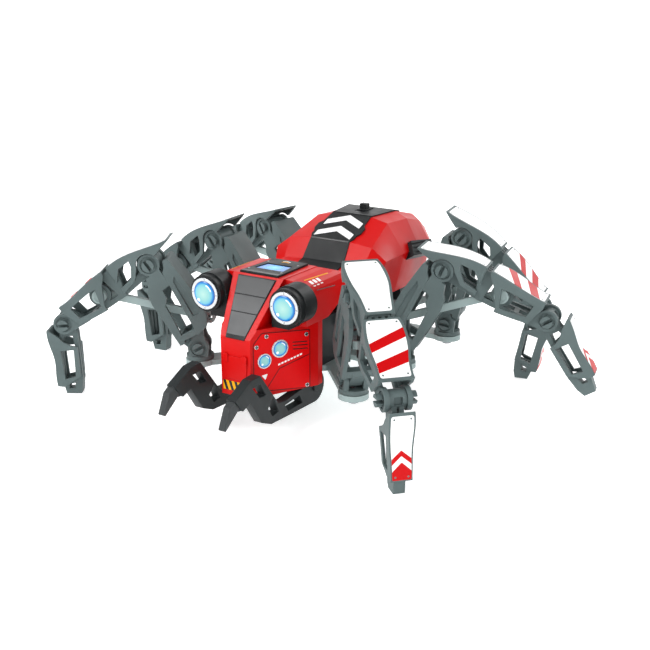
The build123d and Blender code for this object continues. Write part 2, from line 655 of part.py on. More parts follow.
def crown_height(y):
    """Height of the abdomen's crown at a distance behind the hip line."""
    for (y0, half0), (y1, half1) in zip(ABDOMEN, ABDOMEN[1:]):
        if y0 <= y <= y1:
            return half0[0][1] + (half1[0][1] - half0[0][1]) * (y - y0) / (y1 - y0)
    raise ValueError("outside the abdomen")


def abdomen_spine():
    """Dark panel with notched edges, laid down the middle of the abdomen from the head to the roof."""
    stations = (-15.5, -5.5, 3.4, 30, 56, 61)
    half = [(15.1, -15.5), (15.1, -5.3), (14.2, 3.2), (15.6, 6), (15.6, 9), (17.2, 12), (17.2, 17),
            (15, 20), (14.2, 30), (17.8, 55.5), (17.8, 61)]
    with BuildSketch(Plane.XY.offset(70)) as plan:
        outline([(x, along(y)) for x, y in half] + [(-x, along(y)) for x, y in reversed(half)])
    with BuildSketch(Plane.YZ.offset(-20)) as side:
        outline([(along(y), crown_height(y) + 0.8) for y in stations]
                + [(along(y), crown_height(y) + 0.01) for y in reversed(stations)])
    with BuildPart() as spine:
        across = extrude(side.sketch, amount=40, mode=Mode.PRIVATE)
        add(across & extrude(plan.sketch, amount=50, mode=Mode.PRIVATE))
        with BuildSketch(Plane.XY.offset(100)):
            with Locations((0, along(46))):
                Rectangle(7.4, 13)
        extrude(amount=20, mode=Mode.SUBTRACT)
    return spine


def abdomen_vents():
    """Raised dark block with three louvre grooves on each upper flank."""
    with BuildPart() as vents:
        for side in (1, -1):
            flank = Plane(origin=(side * 34.8, along(42), 88.4), x_dir=(0, 1, 0),
                          z_dir=(side * 0.832, 0, 0.555))
            up = 1 if side < 0 else -1
            with BuildSketch(flank.offset(-4)) as base:
                outline([(0, 0), (-6, up * 9.5), (21, up * 12.4), (24, up * 4)])
            extrude(base.sketch, amount=6.6)
            for rise in (1.8, 4.6, 7.4):
                with BuildSketch(flank.offset(1.6)) as groove:
                    outline([(-1.5, up * rise), (19, up * (rise + 2)), (19, up * (rise + 3.2)),
                             (-1.5, up * (rise + 1.2))])
                extrude(groove.sketch, amount=2, mode=Mode.SUBTRACT)
        abdomen_mass(0, 0, Mode.SUBTRACT)
    return vents


def power_switch():
    """Sliding peg on the roof, on a flat foot in the spine's opening."""
    with BuildPart() as switch:
        for size, height in (((6.6, 8), 1.0), ((5, 4.4), 4.5)):
            with BuildSketch(Plane.XY.offset(104.9)):
                with Locations((0, along(46))):
                    Rectangle(*size)
            extrude(amount=height)
    return switch


# ---------------------------------------------------------------- mandibles
def mandible(side):
    """Zigzag jaw with a round root on its pivot, three windows and a separate claw at the tip."""
    pivot_y, pivot_z = MANDIBLE_PIVOT
    plane = Plane.YZ.offset(side * (MANDIBLE_X - MANDIBLE_THICK / 2))
    pivot = (along(pivot_y), pivot_z)
    with BuildPart() as jaw:
        with BuildSketch(plane):
            outline([(along(y), z) for y, z in
                     ((-52, 28), (-66, 20.8), (-84, 19.2), (-91, 20.2), (-108, 42), (-116.6, 41.6),
                      (-131.6, 34.4), (-124.6, 26.4), (-117.6, 29), (-107, 13.4), (-98, 9.6), (-74, 8.6),
                      (-52, 8))])
            with Locations(pivot):
                Circle(10)
                Circle(SMALL_PIN + RUNNING, mode=Mode.SUBTRACT)
            outline_window([(-84, 16.4), (-69, 17.6), (-66, 12), (-81, 12)])
            outline_window([(-97, 14), (-90.8, 15), (-96, 25.4), (-101, 20)])
            outline_window([(-103, 29), (-108.4, 37), (-115.4, 36.6), (-109, 29.4)])
        extrude(amount=side * MANDIBLE_THICK)
        with BuildSketch(Plane.YZ.offset(side * (MANDIBLE_X - 2.2))):
            outline([(along(y), z) for y, z in
                     ((-125, 26.8), (-131.4, 34), (-135.4, 31.6), (-140.6, 20.4), (-139.6, 19.6),
                      (-128.6, 27.4))])
        extrude(amount=side * 4.4)
    return jaw


def outline_window(points):
    """Opening through the open sketch, given from the middle hip line."""
    Polygon(*[(along(y), z) for y, z in points], align=None, mode=Mode.SUBTRACT)


def mandible_left():
    return mandible(1)


def mandible_right():
    return mandible(-1)


# ---------------------------------------------------------------- every node
LEG_PIECES = {"hip_block": hip_block, "thigh_frame": thigh_frame, "thigh_cover": thigh_cover,
              "leg_link": leg_link, "leg_armour": leg_armour, "foot": foot, "push_rod": push_rod}
BODY_PIECES = {"lower_deck": lower_deck, "battery_door": battery_door, "hip_screws": hip_screws,
               "chassis_frame": chassis_frame, "battery_cells": battery_cells, "drive_motor": drive_motor,
               "head_shell": head_shell, "head_visor": head_visor, "head_deck": head_deck,
               "lamp_housings": lamp_housings, "lamp_bezels": lamp_bezels, "lamp_lenses": lamp_lenses,
               "abdomen_shell": abdomen_shell, "abdomen_spine": abdomen_spine,
               "abdomen_vents": abdomen_vents, "power_switch": power_switch,
               "mandible_left": mandible_left, "mandible_right": mandible_right}

for node, build in BODY_PIECES.items():
    piece = build()
    piece.part.label = node
    export_step(piece.part, f"parts/{node}.step")

for leg in LEGS:
    for kind, build in LEG_PIECES.items():
        piece = build(leg)
        piece.part.label = f"{leg}_{kind}"
        export_step(piece.part, f"parts/{leg}_{kind}.step")
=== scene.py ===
"""Six-legged toy robot: finishes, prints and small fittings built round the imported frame."""
import json
import math

import bmesh
import bpy
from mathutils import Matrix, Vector
from mathutils.bvhtree import BVHTree


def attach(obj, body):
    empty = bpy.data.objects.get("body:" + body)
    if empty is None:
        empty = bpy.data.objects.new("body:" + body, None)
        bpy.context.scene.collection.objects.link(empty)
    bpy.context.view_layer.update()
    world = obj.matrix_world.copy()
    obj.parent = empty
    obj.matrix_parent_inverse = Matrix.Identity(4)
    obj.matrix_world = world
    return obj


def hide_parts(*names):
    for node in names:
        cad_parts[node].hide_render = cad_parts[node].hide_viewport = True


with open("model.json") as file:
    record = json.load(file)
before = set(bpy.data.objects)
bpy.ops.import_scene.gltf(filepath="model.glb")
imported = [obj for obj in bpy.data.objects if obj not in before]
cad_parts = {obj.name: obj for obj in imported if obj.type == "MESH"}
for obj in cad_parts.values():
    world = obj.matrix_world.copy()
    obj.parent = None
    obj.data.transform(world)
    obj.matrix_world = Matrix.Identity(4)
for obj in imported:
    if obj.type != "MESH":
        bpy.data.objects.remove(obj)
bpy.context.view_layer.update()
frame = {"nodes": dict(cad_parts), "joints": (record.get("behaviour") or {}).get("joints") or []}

MM = 0.001
TO_LEFT, TO_REAR, UP = Vector((1, 0, 0)), Vector((0, 1, 0)), Vector((0, 0, 1))
SIDES = ((1, "left"), (-1, "right"))
joints = {joint["name"]: joint for joint in frame["joints"]}
HIP_LINE = joints["middle_left_hip_yaw"]["pos_m"][1]
# how far each foot points below level at rest, in degrees
FOOT_BELOW_LEVEL = {
    "front_left": 84.4, "front_right": 93.1, "middle_left": 58.2,
    "middle_right": 94.3, "rear_left": 101.6, "rear_right": 70.0,
}


def place(x, y, z):
    """A point of the body in metres, from millimetres measured off the middle hip line."""
    return Vector((x * MM, HIP_LINE + y * MM, z * MM))


def linear(red, green, blue):
    """A screen colour (sRGB), 0 to 255, as the shader's linear colour."""
    shares = [value / 255 for value in (red, green, blue)]
    return [((v + 0.055) / 1.055) ** 2.4 if v > 0.04 else v / 12.92 for v in shares] + [1.0]


def shaded(colour, share):
    """The colour made darker or paler, held below full white."""
    return [min(1.0, c * share) for c in colour[:3]] + [1]


# ---------------------------------------------------------------- camera and light
def look_from(spot, azimuth, elevation, lens):
    """A camera at the spot: azimuth in degrees from the robot's front towards its left,
    elevation in degrees above level.
    """
    data = bpy.data.cameras.new("camera")
    data.lens, data.sensor_width = lens, 36.0
    data.clip_start, data.clip_end = 0.01, 20.0
    camera = bpy.data.objects.new("camera", data)
    bpy.context.scene.collection.objects.link(camera)
    a, e = math.radians(azimuth), math.radians(elevation)
    ahead = Vector((-math.sin(a) * math.cos(e), math.cos(a) * math.cos(e), -math.sin(e)))
    camera.location = spot
    camera.rotation_mode = "QUATERNION"
    camera.rotation_quaternion = ahead.to_track_quat("-Z", "Y")
    bpy.context.scene.camera = camera


def area_light(name, spot, target, size, power):
    """A round white lamp facing its target; metres and watts."""
    data = bpy.data.lights.new(name, "AREA")
    data.shape, data.size, data.energy = "DISK", size, power
    lamp = bpy.data.objects.new(name, data)
    bpy.context.scene.collection.objects.link(lamp)
    lamp.location = spot
    lamp.rotation_mode = "QUATERNION"
    lamp.rotation_quaternion = (Vector(target) - Vector(spot)).to_track_quat("-Z", "Y")


CAMERA_SPOT, CAMERA_AZIMUTH, CAMERA_ELEVATION = place(357.8, -574.7, 254.3), 32.04, 17.71
CAMERA_LENS = 61.37
WORLD_STRENGTH = 0.38
look_from(CAMERA_SPOT, CAMERA_AZIMUTH, CAMERA_ELEVATION, CAMERA_LENS)
area_light("key", (-0.75, -0.95, 1.25), (0, 0, 0.05), 0.9, 17)
area_light("fill", (1.3, -0.7, 0.7), (0, 0, 0.05), 1.1, 4)
area_light("rim", (0.2, 1.3, 0.9), (0, 0, 0.06), 0.8, 6)

scene = bpy.context.scene
scene.view_settings.view_transform = "Standard"
world = bpy.data.worlds.new("studio")
world.use_nodes = True
background = world.node_tree.nodes["Background"].inputs
background["Color"].default_value = (1, 1, 1, 1)
background["Strength"].default_value = WORLD_STRENGTH
scene.world = world


# ---------------------------------------------------------------- materials
BEVEL_SAMPLES = {"samples": 4}
RELIEF = 0.3                    # strength of every surface relief
HIGHLIGHT_RADIUS = 0.5                # mm either side of an edge that gets a painted highlight
HIGHLIGHT_START, HIGHLIGHT_FULL = 0.02, 1 / 3


class Surface:
    """One node material, fed by the object's own coordinates in metres."""

    def __init__(self, name, **fixed):
        self.material = bpy.data.materials.new(name)
        self.material.use_nodes = True
        self.tree = self.material.node_tree
        self.shader = self.tree.nodes["Principled BSDF"]
        for socket, value in fixed.items():
            self.shader.inputs[socket.replace("_", " ")].default_value = value
        self.place = self.add("ShaderNodeTexCoord").outputs["Object"]

    def add(self, kind, settings=(), **inputs):
        """A node with its settings, and values or links for its named inputs."""
        node = self.tree.nodes.new(kind)
        for key, value in dict(settings).items():
            setattr(node, key, value)
        for key, value in inputs.items():
            self.feed(node.inputs[key.replace("_", " ")], value)
        return node

    def feed(self, socket, value):
        if isinstance(value, bpy.types.NodeSocket):
            self.tree.links.new(value, socket)
        else:
            socket.default_value = value

    def noise(self, scale, detail, stretch=(1, 1, 1)):
        spot = self.add("ShaderNodeMapping", Vector=self.place, Scale=stretch).outputs[0]
        return self.add("ShaderNodeTexNoise", Vector=spot, Scale=scale, Detail=detail).outputs[0]

    def span(self, value, low, high, to_low=0.0, to_high=1.0):
        """The value mapped from low..high to another range, clamped."""
        node = self.add("ShaderNodeMapRange")
        for socket, item in zip(node.inputs, (value, low, high, to_low, to_high)):
            self.feed(socket, item)
        return node.outputs[0]

    def maths(self, operation, first, second):
        node = self.add("ShaderNodeMath", {"operation": operation})
        self.feed(node.inputs[0], first)
        self.feed(node.inputs[1], second)
        return node.outputs[0]

    def mix(self, share, first, second):
        """Two colours mixed; sockets 6, 7 and output 2 are the colour ones."""
        node = self.add("ShaderNodeMix", {"data_type": "RGBA"})
        for socket, item in zip((0, 6, 7), (share, first, second)):
            self.feed(node.inputs[socket], item)
        return node.outputs[2]

    def ramp(self, value, stops):
        node = self.add("ShaderNodeValToRGB", Fac=value)
        band = node.color_ramp
        while len(band.elements) < len(stops):
            band.elements.new(0.5)
        for element, (spot, colour) in zip(band.elements, stops):
            element.position, element.color = spot, colour
        return node.outputs[0]

    def finish(self, colour, roughness, height, depth, round_edges=0.3):
        """Links colour and roughness, and a surface relief over softly rounded edges."""
        soft = self.add("ShaderNodeBevel", BEVEL_SAMPLES, Radius=round_edges * MM).outputs[0]
        bump = self.add("ShaderNodeBump", Strength=RELIEF, Distance=depth * MM, Height=height,
                        Normal=soft)
        self.feed(self.shader.inputs["Normal"], bump.outputs[0])
        self.feed(self.shader.inputs["Base Color"], colour)
        self.feed(self.shader.inputs["Roughness"], roughness)
        return self.material

    def edges(self):
        """Rises towards 1 on the sharp edges, where the plastic gets a painted highlight."""
        soft = self.add("ShaderNodeBevel", BEVEL_SAMPLES, Radius=HIGHLIGHT_RADIUS * MM).outputs[0]
        flat = self.add("ShaderNodeNewGeometry").outputs["Normal"]
        node = self.add("ShaderNodeVectorMath", {"operation": "DOT_PRODUCT"})
        self.feed(node.inputs[0], soft)
        self.feed(node.inputs[1], flat)
        turned = self.maths("SUBTRACT", 1.0, node.outputs["Value"])
        return self.span(turned, HIGHLIGHT_START, HIGHLIGHT_FULL)


def moulded(name, colour, highlight_colour, rough, tone, grain=0.02, highlight_share=0.5, **fixed):
    """Injection-moulded plastic: tone drift, spark-eroded grain, flow marks and painted highlights
    on the edges.
    """
    s = Surface(name, **fixed)
    drift = s.span(s.noise(38, 4), 0.3, 0.7)
    base = s.mix(drift, shaded(colour, 1 - tone), shaded(colour, 1 + tone))
    # painted highlight: the sharp edges are mixed towards the paler highlight colour
    edge_highlight = s.maths("MULTIPLY", s.edges(), s.span(s.noise(240, 3), 0.35, 0.65, 0.25 * highlight_share, highlight_share))
    base = s.mix(edge_highlight, base, highlight_colour)
    smear = s.span(s.noise(90, 5, (1, 1, 0.35)), 0.3, 0.7, rough[0], rough[1])
    grit = s.noise(2600, 2)
    return s.finish(base, smear, grit, grain)


def metal(name, colour):
    """Turned metal with fine streaks."""
    s = Surface(name, Metallic=1.0, Anisotropic=0.4)
    streaks = s.noise(900, 3, (1, 1, 12))
    base = s.mix(s.span(streaks, 0.3, 0.7), shaded(colour, 0.82), colour)
    return s.finish(base, s.span(s.noise(500, 3), 0.3, 0.7, 0.18, 0.34), streaks, 0.01)


def film(name, colour, rough=(0.28, 0.4), **fixed):
    """Printed vinyl: faint ink mottle and a very fine orange-peel."""
    s = Surface(name, **fixed)
    ink = s.mix(s.span(s.noise(420, 4), 0.3, 0.7), shaded(colour, 0.94), colour)
    return s.finish(ink, s.span(s.noise(70, 3), 0.3, 0.7, *rough), s.noise(1500, 1), 0.01,
                    round_edges=0.05)


def glowing(name, stops, strength):
    """Lens or screen that glows by emission, a painted glow on the lens prints; the mesh's own
    'glow' value runs from the middle to the rim.
    """
    s = Surface(name, Coat_Weight=0.15, Coat_Roughness=0.05, Emission_Strength=strength)
    level = s.add("ShaderNodeAttribute", {"attribute_name": "glow"}).outputs["Fac"]
    level = s.maths("ADD", level, s.span(s.noise(700, 2), 0.0, 1.0, -0.02, 0.02))
    colour = s.ramp(level, stops)
    s.feed(s.shader.inputs["Emission Color"], colour)
    unlit = s.mix(0.6, colour, [0, 0, 0, 1])
    return s.finish(unlit, 0.08, s.noise(900, 1), 0.01, round_edges=0.05)


# each plastic's second colour is the painted highlight on its edges
SLATE = moulded("slate plastic", linear(84, 96, 96), linear(118, 130, 130), (0.42, 0.55), 0.08,
                Specular_IOR_Level=0.16)
PALE = moulded("pale plastic", linear(142, 158, 157), linear(176, 190, 189), (0.38, 0.5), 0.06,
               Specular_IOR_Level=0.3)
RED = moulded("red plastic", linear(190, 6, 6), linear(204, 40, 34), (0.3, 0.42), 0.07, grain=0.008,
              highlight_share=0.3, Specular_IOR_Level=0.13, Coat_Weight=0.03, Coat_Roughness=0.12)
BLACK = moulded("black plastic", linear(25, 27, 28), linear(60, 64, 65), (0.36, 0.48), 0.12,
                Specular_IOR_Level=0.16)
CHARCOAL = moulded("charcoal plastic", linear(36, 40, 41), linear(70, 75, 76), (0.4, 0.5), 0.1,
                   Specular_IOR_Level=0.18)
HORN = moulded("fang plastic", linear(54, 57, 58), linear(92, 96, 96), (0.4, 0.5), 0.1,
               Specular_IOR_Level=0.18)
SILVER = metal("silver ring", linear(196, 198, 200))
STEEL = metal("screw steel", linear(150, 154, 156))
DARK_STEEL = metal("dark screw steel", linear(84, 88, 90))
WHITE_FILM = film("white film", linear(244, 245, 245), Specular_IOR_Level=0.2)
RED_FILM = film("red film", linear(188, 5, 10), Specular_IOR_Level=0.12)
BRIGHT_RED_FILM = film("bright red film", linear(212, 4, 8), (0.28, 0.38), Specular_IOR_Level=0.1)
DEEP_RED_FILM = film("deep red line", linear(96, 6, 8), Specular_IOR_Level=0.15)
BLACK_FILM = film("black film", linear(20, 21, 22), (0.2, 0.34), Specular_IOR_Level=0.3)
GREY_FILM = film("grey film", linear(92, 84, 84))
YELLOW_FILM = film("yellow film", linear(228, 160, 4), Specular_IOR_Level=0.15)
DOT_FILM = film("dot grey film", linear(88, 98, 98))
# the lens prints are no lamps: their emission is a painted glow
PAINTED_GLOW_LENS = glowing("lens with painted glow", [(0.0, linear(176, 222, 214)), (0.5, linear(146, 210, 208)),
                            (0.76, linear(110, 198, 218)), (0.88, linear(10, 140, 222)),
                            (1.0, linear(0, 84, 170))], 0.5)
SCREEN = glowing("lit screen", [(0.0, linear(70, 206, 240)), (0.5, linear(20, 142, 226)),
                                (1.0, linear(6, 74, 164))], 0.6)
GLINT = film("lens glint", linear(252, 254, 254), (0.1, 0.2))


VISOR_HEIGHTS = (0.055, 0.092)  # metres above the floor, foot and head of the visor


def painted_shade_visor():
    """Smoked pane with painted shade: lighter towards its lower edge, darker towards its upper
    edge.
    """
    s = Surface("smoked pane with painted shade", Specular_IOR_Level=0.14)
    height = s.add("ShaderNodeSeparateXYZ", Vector=s.place).outputs[2]
    # painted shade: the panes grow darker with height up the brow
    shade = s.span(height, *VISOR_HEIGHTS)
    tone = s.ramp(shade, [(0.0, linear(80, 81, 82)), (0.45, linear(72, 73, 74)),
                          (1.0, linear(38, 39, 40))])
    tone = s.mix(s.span(s.noise(60, 3), 0.3, 0.7, 0.0, 0.25), tone, linear(56, 57, 59))
    return s.finish(tone, s.span(s.noise(120, 3), 0.3, 0.7, 0.16, 0.26), s.noise(2200, 2), 0.008)


PANE = painted_shade_visor()


# ---------------------------------------------------------------- meshes
def keep(bm, name, body, materials, smooth=32.0, replaces=()):
    """Makes the object, with smooth faces between its sharp edges, and lets it ride on its body."""
    bmesh.ops.recalc_face_normals(bm, faces=bm.faces[:])
    mesh = bpy.data.meshes.new(name)
    bm.to_mesh(mesh)
    bm.free()
    for material in materials:
        mesh.materials.append(material)
    mesh.shade_smooth()
    mesh.set_sharp_from_angle(angle=math.radians(smooth))
    made = bpy.data.objects.new(name, mesh)
    bpy.context.scene.collection.objects.link(made)
    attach(made, body)
    if replaces:
        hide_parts(*replaces)
    return made


def surface_of(node):
    """A CAD node, by name, or a finished piece as a tree for dropping prints onto."""
    thing = frame["nodes"][node] if isinstance(node, str) else node
    corners = [thing.matrix_world @ v.co for v in thing.data.vertices]
    return BVHTree.FromPolygons(corners, [list(p.vertices) for p in thing.data.polygons])


CORNER_STEPS = 4
SIDE_SHARE = 0.45               # of a side, the most a rounded corner may take up
NEARLY_STRAIGHT = 0.06          # corners flatter than this stay as they are
MITRE_LIMIT = 0.4               # keeps the sharp corners of a stroke from becoming spikes


def box(x1, y1, x2, y2):
    return [(x1, y1), (x2, y1), (x2, y2), (x1, y2)]


def rounded(points, radius):
    """The outline with its corners rounded."""
    out = []
    for i, corner in enumerate(points):
        here, before, after = (Vector(points[(i + k) % len(points)]) for k in (0, -1, 1))
        a, b = before - here, after - here
        reach = min(radius, a.length * SIDE_SHARE, b.length * SIDE_SHARE)
        if abs(a.normalized().dot(b.normalized()) + 1) < NEARLY_STRAIGHT:
            out.append(tuple(corner))
            continue
        start, end = here + a.normalized() * reach, here + b.normalized() * reach
        for k in range(CORNER_STEPS + 1):
            t = k / CORNER_STEPS
            spot = start * (1 - t) ** 2 + here * 2 * t * (1 - t) + end * t ** 2
            out.append((spot.x, spot.y))
    return out


def ring(radius, centre, count, start=0.0, turn=360.0):
    """Points round a circle, or along an arc of it; angles in degrees."""
    whole = turn >= 360
    steps = count if whole else count + 1
    spots = [math.radians(start + turn * k / count) for k in range(steps)]
    return [(centre[0] + radius * math.cos(a), centre[1] + radius * math.sin(a)) for a in spots]


def crescent(outer, inner, centre, count, start, turn):
    """The part of a ring between two radii."""
    return (ring(outer, centre, count, start, turn)
            + ring(inner, centre, count, start, turn)[::-1])


def stroke(points, width):
    """A line of even width along the points, as a closed outline with mitred corners."""
    spots = [Vector(p) for p in points]
    runs = [far - near for near, far in zip(spots, spots[1:])]
    sides = ([], [])
    for i, spot in enumerate(spots):
        ahead, back = runs[min(i, len(runs) - 1)], runs[max(i - 1, 0)]
        n1 = Vector((-ahead.y, ahead.x)).normalized()
        n2 = Vector((-back.y, back.x)).normalized()
        mean = (n1 + n2).normalized()
        reach = width / 2 / max(MITRE_LIMIT, mean.dot(n1))
        sides[0].append(tuple(spot + mean * reach))
        sides[1].append(tuple(spot - mean * reach))
    return sides[0] + sides[1][::-1]


class Print:
    """Thin printed film: outlines in millimetres on a plane, dropped onto the surface under it.

    The drop starts reach mm outside the plane; step is the widest mm a facet may span; flip is -1
    where along and across turn the plane's face inwards.
    """

    def __init__(self, origin, along, across, under, reach, step=1.2, flip=1):
        self.origin = Vector(origin)
        self.along, self.across = along.normalized(), across.normalized()
        self.out = self.along.cross(self.across) * flip
        self.under, self.reach, self.step = under, reach, step
        self.bm = bmesh.new()
        self.glow = self.bm.verts.layers.float.new("glow")
        self.materials = []

    def drop(self, x, y):
        """The surface's point under a point of the plane, or the nearest one, and its normal."""
        spot = self.origin + (self.along * x + self.across * y) * MM
        hit, normal, _, _ = self.under.ray_cast(spot + self.out * self.reach * MM, -self.out)
        if hit is None:
            hit, normal, _, _ = self.under.find_nearest(spot)
        return hit, normal if normal.dot(self.out) > 0 else -normal

    def area(self, points, material, lift, sink=0.05, glow=None):
        """One closed patch, from sink mm under to lift mm over the surface it lies on.

        glow gives (middle, radius) for a glowing patch.
        """
        if material not in self.materials:
            self.materials.append(material)
        patch = bmesh.new()
        level = patch.verts.layers.float.new("glow")
        patch.faces.new([patch.verts.new((x, y, 0)) for x, y in points])
        for axis in (0, 1):
            low = min(p[axis] for p in points)
            high = max(p[axis] for p in points)
            cuts = int((high - low) / self.step)
            for k in range(1, cuts + 1):
                spot, normal = [0, 0, 0], [0, 0, 0]
                spot[axis], normal[axis] = low + (high - low) * k / (cuts + 1), 1
                everything = patch.verts[:] + patch.edges[:] + patch.faces[:]
                bmesh.ops.bisect_plane(patch, geom=everything, plane_co=spot, plane_no=normal)
        bmesh.ops.triangulate(patch, faces=patch.faces[:])
        lower = set(patch.verts)
        bmesh.ops.extrude_face_region(patch, geom=patch.faces[:], use_keep_orig=True)
        for v in patch.verts:
            if glow:
                (mx, my), radius = glow
                v[level] = math.hypot(v.co.x - mx, v.co.y - my) / radius
            hit, normal = self.drop(v.co.x, v.co.y)
            v.co = hit + normal * (-sink if v in lower else lift) * MM
        patch.normal_update()
        lookup = {v: self.bm.verts.new(v.co) for v in patch.verts}
        for old, new in lookup.items():
            new[self.glow] = old[level]
        for f in patch.faces:
            face = self.bm.faces.new([lookup[v] for v in f.verts])
            face.material_index = self.materials.index(material)
        patch.free()

    def done(self, name, body, slot):
        return keep(self.bm, name, body, self.materials)


def lathe(profile, centre, axis, count):
    """A turned form with a glow value from middle to rim: (radius, height) pairs in millimetres up
    the axis, closed at radius 0.
    """
    bm = bmesh.new()
    level = bm.verts.layers.float.new("glow")
    axis = Vector(axis).normalized()
    side = axis.orthogonal().normalized()
    other = axis.cross(side)
    widest = max(r for r, _ in profile)
    rows = []
    for radius, height in profile:
        base = Vector(centre) + axis * height * MM
        if radius < 1e-6:
            row = [bm.verts.new(base)]
        else:
            row = [bm.verts.new(base + (side * math.cos(a) + other * math.sin(a)) * radius * MM)
                   for a in (2 * math.pi * k / count for k in range(count))]
        for v in row:
            v[level] = radius / widest
        rows.append(row)
    for low, high in zip(rows, rows[1:]):
        for k in range(count):
            a, b = low[k % len(low)], low[(k + 1) % len(low)]
            c, d = high[(k + 1) % len(high)], high[k % len(high)]
            corners = list(dict.fromkeys((a, b, c, d)))
            if len(corners) > 2:
                bm.faces.new(corners)
    return bm


SAME_POINT, SAME_PLANE = 2e-6, 0.6      # metres, degrees: nearer than this, CAD facets are joined


def soften(node, width, materials, body, sharp=30.0):
    """A copy of a CAD node with its sharp edges rounded, shown in the node's place."""
    bm = bmesh.new()
    bm.from_mesh(frame["nodes"][node].data)
    bmesh.ops.remove_doubles(bm, verts=bm.verts[:], dist=SAME_POINT)
    bmesh.ops.dissolve_limit(bm, angle_limit=math.radians(SAME_PLANE), verts=bm.verts[:],
                             edges=bm.edges[:])
    made = keep(bm, f"{node}_soft", body, materials, sharp, [node])
    rounding = made.modifiers.new("edge", "BEVEL")
    rounding.width, rounding.segments = width * MM, 3
    rounding.limit_method, rounding.angle_limit = "ANGLE", math.radians(sharp)
    rounding.use_clamp_overlap = True
    rounding.harden_normals = True
    return made


# ---------------------------------------------------------------- looks of the CAD pieces
BODY_LOOKS = {
    "lower_deck": PALE, "battery_door": PALE, "hip_screws": STEEL, "chassis_frame": CHARCOAL,
    "battery_cells": STEEL, "drive_motor": STEEL, "power_switch": BLACK,
    "head_shell": RED, "head_visor": BLACK, "head_deck": BLACK,
    "lamp_housings": BLACK, "lamp_bezels": SILVER, "lamp_lenses": PAINTED_GLOW_LENS,
    "abdomen_shell": RED, "abdomen_spine": BLACK, "abdomen_vents": CHARCOAL,
    "mandible_left": CHARCOAL, "mandible_right": CHARCOAL,
}
for node, thing in frame["nodes"].items():
    thing.data.materials.clear()
    thing.data.materials.append(BODY_LOOKS.get(node, PALE if node.endswith("push_rod") else SLATE))


# ---------------------------------------------------------------- softened jaws
# The claw is the narrow end ahead of CLAW_ROOT, within CLAW_HALF of the jaw's middle plane at
# JAW_X; its faces get the paler claw plastic.
JAW_X, CLAW_HALF, CLAW_ROOT = 20.8 * MM, 2.3 * MM, place(0, -124.5, 0).y
for _, hand in SIDES:
    jaw = soften(f"mandible_{hand}", 0.6, [CHARCOAL, HORN], f"jaw_{hand}")
    for face in jaw.data.polygons:
        corners = [jaw.data.vertices[v].co for v in face.vertices]
        narrow = max(abs(abs(c.x) - JAW_X) for c in corners) < CLAW_HALF
        face.material_index = int(narrow and max(c.y for c in corners) < CLAW_ROOT)


# ---------------------------------------------------------------- stickers on the leg armour
def smooth_curve(points, x):
    """Height at x of a smooth (cubic Hermite) curve through the points."""
    for i in range(len(points) - 1):
        (x1, y1), (x2, y2) = points[i], points[i + 1]
        if x <= x2 or i == len(points) - 2:
            x0, y0 = points[max(i - 1, 0)]
            x3, y3 = points[min(i + 2, len(points) - 1)]
            m1 = (y2 - y0) / (x2 - x0)
            m2 = (y3 - y1) / (x3 - x1)
            t = (x - x1) / (x2 - x1)
            span = x2 - x1
            return ((2 * t**3 - 3 * t**2 + 1) * y1 + (t**3 - 2 * t**2 + t) * span * m1
                    + (3 * t**2 - 2 * t**3) * y2 + (t**3 - t**2) * span * m2)


# half widths of the plates, (along, half width) in mm from the knee or, for the foot, the ankle
UPPER_PLAN = [(-19, 10), (-14, 11.4), (0, 11.6), (12, 9.6), (23.2, 8.2)]
LOWER_PLAN = [(26.2, 9.8), (34, 11.4), (44, 11.4), (53, 10), (62.2, 9.6)]
FOOT_PLAN = [(4, 6.8), (13, 7), (28, 6.2), (42, 5.9)]
ARMOUR_INSET, FOOT_INSET = 1.5, 0.9     # mm from the plate's edge to the sticker's
STICKER, STRIPE, DOT = 0.12, 0.17, 0.2  # mm each layer stands over the plate
LEG_REACH = 30


def side_points(plan, inset, start, end, side, count=10):
    """One long edge of a sticker, from start to end along the plate."""
    spots = [start + (end - start) * k / count for k in range(count + 1)]
    return [(x, side * (smooth_curve(plan, x) - inset)) for x in spots]


def sticker(prints, plan, inset, start, end):
    """A white sticker that follows the plate, with a printed dot near each corner."""
    edge = side_points(plan, inset, start, end, 1) + side_points(plan, inset, end, start, -1)
    prints.area(rounded(edge, 1.4), WHITE_FILM, STICKER)
    for x in (start + 1.7, end - 1.7):
        for side in (1, -1):
            half = smooth_curve(plan, x) - inset - 1.6
            prints.area(ring(0.55, (x, side * half), 12), DOT_FILM, DOT)


def band(left, right):
    """A diagonal stripe right across the lower sticker, between two places on each side."""
    return (side_points(LOWER_PLAN, ARMOUR_INSET, *left, -1, 5)
            + side_points(LOWER_PLAN, ARMOUR_INSET, *right[::-1], 1, 5))


def leg_frame(leg, joint):
    """Origin, direction along the link and joint axis, of the knee's link or the ankle's."""
    across = Vector(joints[f"{leg}_knee"]["axis"])
    knee, ankle = (Vector(joints[f"{leg}_{k}"]["pos_m"]) for k in ("knee", "ankle"))
    if joint == "knee":
        return knee, (ankle - knee).normalized(), across
    turn = math.radians(FOOT_BELOW_LEVEL[leg])
    outward = UP.cross(across)
    return ankle, outward * math.cos(turn) - UP * math.sin(turn), across


